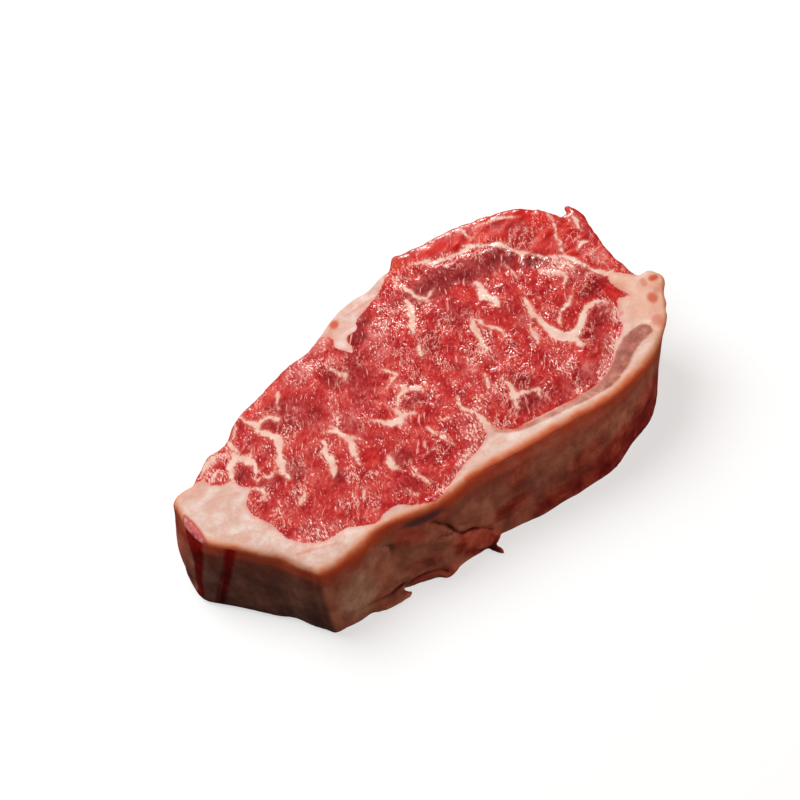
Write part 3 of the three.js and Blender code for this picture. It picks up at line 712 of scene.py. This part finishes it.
# What the colour ramps run over: noises added up and brought back, so that the middle is at
# about 0.5, and the depth that light has soaked in from the rim, for the painted glow.
tone = {"roped": noise["ropes"]}
for name, total, operation, back in (
        ("grained", summed(noise["patches"], (noise["bundles"], 0.5), (end_tone, 0.12),
                           (noise["speckle"], 0.3)), "MULTIPLY", 0.531),
        ("blotched", summed(noise["mottle"], (noise["fray"], 0.35)), "MULTIPLY", 0.741),
        ("streaky", summed(noise["mottle"], (noise["drips"], 0.2), (noise["fray"], 0.3)),
         "SUBTRACT", 0.25)):
    tone[name] = add("ShaderNodeMath", {0: total, 1: back}, operation=operation).outputs[0]
tone["soaked"] = add("ShaderNodeMapRange", {
    "Value": summed(carried["soak"], (noise["mottle"], 4.0)), "From Min": -1.5,
    "From Max": 14.5}).outputs[0]

# Ramps: what each runs over, and the position, shade and, if not full, strength of each stop.
RAMPS = dict(
    lean=("grained", (0.35, "#90151a"), (0.44, "#aa1d21"), (0.51, "#be2d2c"), (0.58, "#ca3e39"),
          (0.70, "#da5e53")),
    dark=("grained", (0.36, "#680b0f"), (0.51, "#8e1f22"), (0.66, "#ae4846")),
    bloom=("grained", (0.34, "#b80c0c"), (0.50, "#ce1e18"), (0.66, "#de3c2e")),
    haze_and_painted_sheen=("grained", (0.36, "#b04040"), (0.51, "#d0706c"), (0.66, "#f0c0b8")),
    chain=("roped", (0.34, "#a81616"), (0.50, "#c62a26"), (0.62, "#da4c42"), (0.76, "#ec988a")),
    marbling=("blotched", (0.32, "#e2ac9a"), (0.50, "#ecc5b6"), (0.68, "#f4dfd4")),
    fat=("blotched", (0.34, "#d5a492"), (0.46, "#dab5a6"), (0.54, "#e0c4b8"), (0.66, "#e9d7cd")),
    silver=("blotched", (0.38, "#904f44"), (0.50, "#b06858"), (0.62, "#d09986")),
    # cap: the dried brown fat of the cap's side, partly darkened as painted shade.
    cap=("streaky", (0.36, "#9c6250"), (0.50, "#b0745e"), (0.66, "#c28c76")),
    dry_cap=("streaky", (0.36, "#ac806a"), (0.50, "#be9480"), (0.66, "#cca898")),
    rust=("streaky", (0.36, "#86281e"), (0.50, "#ae4c3c"), (0.66, "#c46c58")),
    bare=("streaky", (0.34, "#5c0e0b"), (0.50, "#86221b"), (0.66, "#a84436")),
    blood=("streaky", (0.36, "#600402"), (0.60, "#a8160a")),
    # painted_rim_glow is painted light: the orange glow of light soaking through the fat along the
    # rim, fading out in brown down the side.
    painted_rim_glow=("soaked", (0.0, "#e6b090", 0.0), (0.1, "#de9064", 0.6), (0.18, "#d66e46", 0.95),
              (0.28, "#c24c2c", 0.95), (0.5, "#9c402c", 0.55), (0.95, "#943c2c", 0.0)))
shade = {}
ramps = {}
for name, (runs_over, *stops) in RAMPS.items():
    ramps[name] = add("ShaderNodeValToRGB", {"Fac": tone[runs_over]})
    elements = ramps[name].color_ramp.elements
    while len(elements) < len(stops):
        elements.new(0.5)
    for element, (position, hex_shade, *strength) in zip(elements, stops):
        element.position = position
        element.color = linear(hex_shade)[:3] + (strength or [1])
    shade[name] = ramps[name].outputs["Color"]
share["painted_rim_glow"] = ramps["painted_rim_glow"].outputs["Alpha"]
# Shades without a ramp. The shaded crease's is painted shade, the dark inside a fold.
for name, hex_shade in dict(threads="#d67a6e", streaks="#e49c90", flecks="#f4c4b8",
                            web="#eaa99c", halo="#dc7c6c", peach="#eebc9e", folds="#d49078",
                            near_lean="#dc7468", bruise="#5a4046", film_edge="#c05248",
                            stain="#cc5638", crease="#4a120c").items():
    shade[name] = linear(hex_shade)

# The layers laid over each other, from the inside out.
lean_cut = layered(
    shade["lean"], (share["chain"], shade["chain"]), (carried["bloom"], shade["bloom"]),
    (carried["dark"], shade["dark"]), (faint["haze_and_painted_sheen"], shade["haze_and_painted_sheen"]),
    (share["threads"], shade["threads"]), (share["streaks"], shade["streaks"]),
    (share["flecks"], shade["flecks"]), (share["web"], shade["web"]),
    (faint["halo"], shade["halo"]), (share["vein"], shade["marbling"]))
lean_all_round = layered(lean_cut, (faint["dried"], shade["bare"]))
fat_cut = layered(
    shade["fat"], (faint["peach"], shade["peach"]), (faint["folds"], shade["folds"]),
    (share["silver"], shade["silver"]), (faint["vein"], shade["marbling"]),
    (faint["near_lean"], shade["near_lean"]))
reddened = summed(-0.2, (noise["mottle"], 0.8))
reddened = add("ShaderNodeMath", {0: carried["ruddy"], 1: reddened}, operation="ADD",
               use_clamp=True).outputs[0]
cap_skin = layered(shade["cap"], (reddened, shade["rust"]), (carried["clean"], shade["dry_cap"]),
                   (carried["red_and_shaded_foot"], shade["bare"]))
# The fat all round: the cap's skin on its side, partly painted shade, then the painted glow along
# the rim, then bruises.
fat_all_round = layered(fat_cut, (share["side"], cap_skin),
                        (share["painted_rim_glow"], shade["painted_rim_glow"]),
                        (carried["bruise"], shade["bruise"]))
blood_film = layered(shade["film_edge"], (share["inner_film"], shade["haze_and_painted_sheen"]))
# The dark of the shaded creases, which is painted shade, goes on last.
colour = layered(lean_all_round, (share["fat"], fat_all_round), (carried["stain"], shade["stain"]),
                 (share["film"], blood_film), (share["blood"], shade["blood"]),
                 (share["crease"], shade["crease"]))

# Relief too fine for the mesh: domed bundle ends in the lean, ruffled more in some patches than
# in others and calm in the chain and the dark, and faint folds in the fat.
GRAIN_RELIEF = 0.19 * MM
domes = add("ShaderNodeMath", {0: ends.outputs["Distance"], 1: -0.9, 2: -0.4},
            operation="MULTIPLY_ADD").outputs[0]
height = summed(domes, (noise["bundles"], 1.2), (noise["strokes"], 0.4))
ruffled = add("ShaderNodeMapRange", {"Value": noise["clusters"], "From Min": 0.35,
                                     "From Max": 0.65, "To Min": 0.3, "To Max": 1.1}).outputs[0]
ruffled = summed(ruffled, (carried["wet_with_painted_glints"], 0.7))
calm = summed(1.0, (share["chain"], -0.55))
calm = add("ShaderNodeMath", {0: carried["dark"], 1: -0.75, 2: calm},
           operation="MULTIPLY_ADD", use_clamp=True).outputs[0]
ruffled = add("ShaderNodeMath", {0: ruffled, 1: calm}, operation="MULTIPLY").outputs[0]
height = add("ShaderNodeMath", {0: height, 1: ruffled}, operation="MULTIPLY").outputs[0]
fat_height = summed(-0.25, (summed(noise["fray"], (share["folds"], -0.15)), 0.5))
height = add("ShaderNodeMix", {0: share["fat_level"], LEVEL_A: height,
                               LEVEL_B: fat_height}).outputs[0]
bump = add("ShaderNodeBump", {"Height": height, "Distance": GRAIN_RELIEF, "Strength": 1.0})

# Wetness: the cut lean is wet, the chain a little less, and fat, rim and sides are dull.
WET_LEAN = 0.19
WET_CHAIN = 0.25
DULL_FAT = 0.48
DRIED_SIDE = 0.5
rough = WET_LEAN
for cover, level in (("chain", WET_CHAIN), ("fat", DULL_FAT), ("rim", DULL_FAT),
                     ("side", DRIED_SIDE)):
    rough = add("ShaderNodeMix", {0: share[cover], LEVEL_A: rough, LEVEL_B: level}).outputs[0]
MEAT_IOR = 1.42
LIGHT_REACH = 6.0 * MM  # how far red light soaks in
REACH_BY_COLOUR = (1, 0.3, 0.15)  # and green and blue, as shares of it
surface = add("ShaderNodeBsdfPrincipled", {
    "Base Color": colour, "Roughness": rough, "Normal": bump.outputs["Normal"],
    "IOR": MEAT_IOR, "Subsurface Weight": 0.4, "Subsurface Radius": REACH_BY_COLOUR,
    "Subsurface Scale": LIGHT_REACH}, subsurface_method="RANDOM_WALK")
add("ShaderNodeOutputMaterial", {"Surface": surface.outputs["BSDF"]})
mesh.materials.append(RAW_BEEF)

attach(piece, "root")
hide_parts("steak")

# ---------------------------------------------------------------- studio
LENS_MM = 75
SENSOR_MM = 36
VIEW_TURN = math.radians(-21)
VIEW_RISE = math.radians(48)
VIEW_ROLL = math.radians(-13)
VIEW_DISTANCE = 0.655
VIEW_TARGET = Vector((0.002176, 0.023568, 0))

scene = bpy.context.scene
towards_camera = Vector((math.sin(VIEW_TURN) * math.cos(VIEW_RISE),
                         -math.cos(VIEW_TURN) * math.cos(VIEW_RISE), math.sin(VIEW_RISE)))
camera = bpy.data.objects.new("camera", bpy.data.cameras.new("camera"))
scene.collection.objects.link(camera)
camera.data.lens = LENS_MM
camera.data.sensor_width = SENSOR_MM
camera.data.clip_start = 0.01
unrolled = (-towards_camera).to_track_quat("-Z", "Y").to_matrix()
camera.matrix_world = (Matrix.Translation(VIEW_TARGET + VIEW_DISTANCE * towards_camera)
                       @ (unrolled @ Matrix.Rotation(VIEW_ROLL, 3, "Z")).to_4x4())
scene.camera = camera

# Translucent acrylic, lit from behind and frosted matt: it stays an even white around the
# steak and still takes a faint shadow. It throws no light or mirror image on to the steak.
FLOOR_HALF = 3.0
floor_mesh = bpy.data.meshes.new("floor")
floor_mesh.from_pydata([(sx * FLOOR_HALF, sy * FLOOR_HALF, 0)
                        for sx, sy in ((-1, -1), (1, -1), (1, 1), (-1, 1))], [], [(0, 1, 2, 3)])
floor = bpy.data.objects.new("floor", floor_mesh)
scene.collection.objects.link(floor)
white = bpy.data.materials.new("lit_white_acrylic")
white.use_nodes = True
sheet = white.node_tree.nodes["Principled BSDF"]
sheet.inputs["Base Color"].default_value = linear("#a8a8a8")
sheet.inputs["Roughness"].default_value = 0.9
sheet.inputs["Emission Color"].default_value = (1, 1, 1, 1)
sheet.inputs["Emission Strength"].default_value = 0.63
floor_mesh.materials.append(white)
floor.visible_diffuse = False
floor.visible_glossy = False

# Round lamps: name, watts, diameter, place and tint. Only the hair light is seen in gloss, and
# it gives nothing else: it makes the wet sparkle on the grain, which broad lamps would wash out.
AIM = Vector((0, 0, 0.02))
HAIR_LIGHT = "hair light"
for name, watts, size, spot, tint in (
        ("key softbox", 13.7, 0.9, (-0.22, 0.42, 0.95), "#ffffff"),
        (HAIR_LIGHT, 4.2, 0.12, (0.35, 0.85, 0.5), "#ffece4"),
        ("front fill", 5.6, 0.6, (0.65, -0.85, 0.35), "#ffe2cc")):
    lamp = bpy.data.lights.new(name, "AREA")
    lamp.shape = "DISK"
    lamp.size = size
    lamp.energy = watts
    lamp.color = linear(tint)[:3]
    stand = bpy.data.objects.new(name, lamp)
    stand.matrix_world = (Matrix.Translation(spot)
                          @ (AIM - Vector(spot)).to_track_quat("-Z", "Y").to_matrix().to_4x4())
    stand.visible_diffuse = name != HAIR_LIGHT
    stand.visible_glossy = name == HAIR_LIGHT
    scene.collection.objects.link(stand)

world = bpy.data.worlds.new("studio")
world.use_nodes = True
world.node_tree.nodes["Background"].inputs["Color"].default_value = (1, 1, 1, 1)
world.node_tree.nodes["Background"].inputs["Strength"].default_value = 0.04
scene.world = world
scene.view_settings.view_transform = "Standard"
scene.view_settings.look = "None"

bpy.context.view_layer.update()
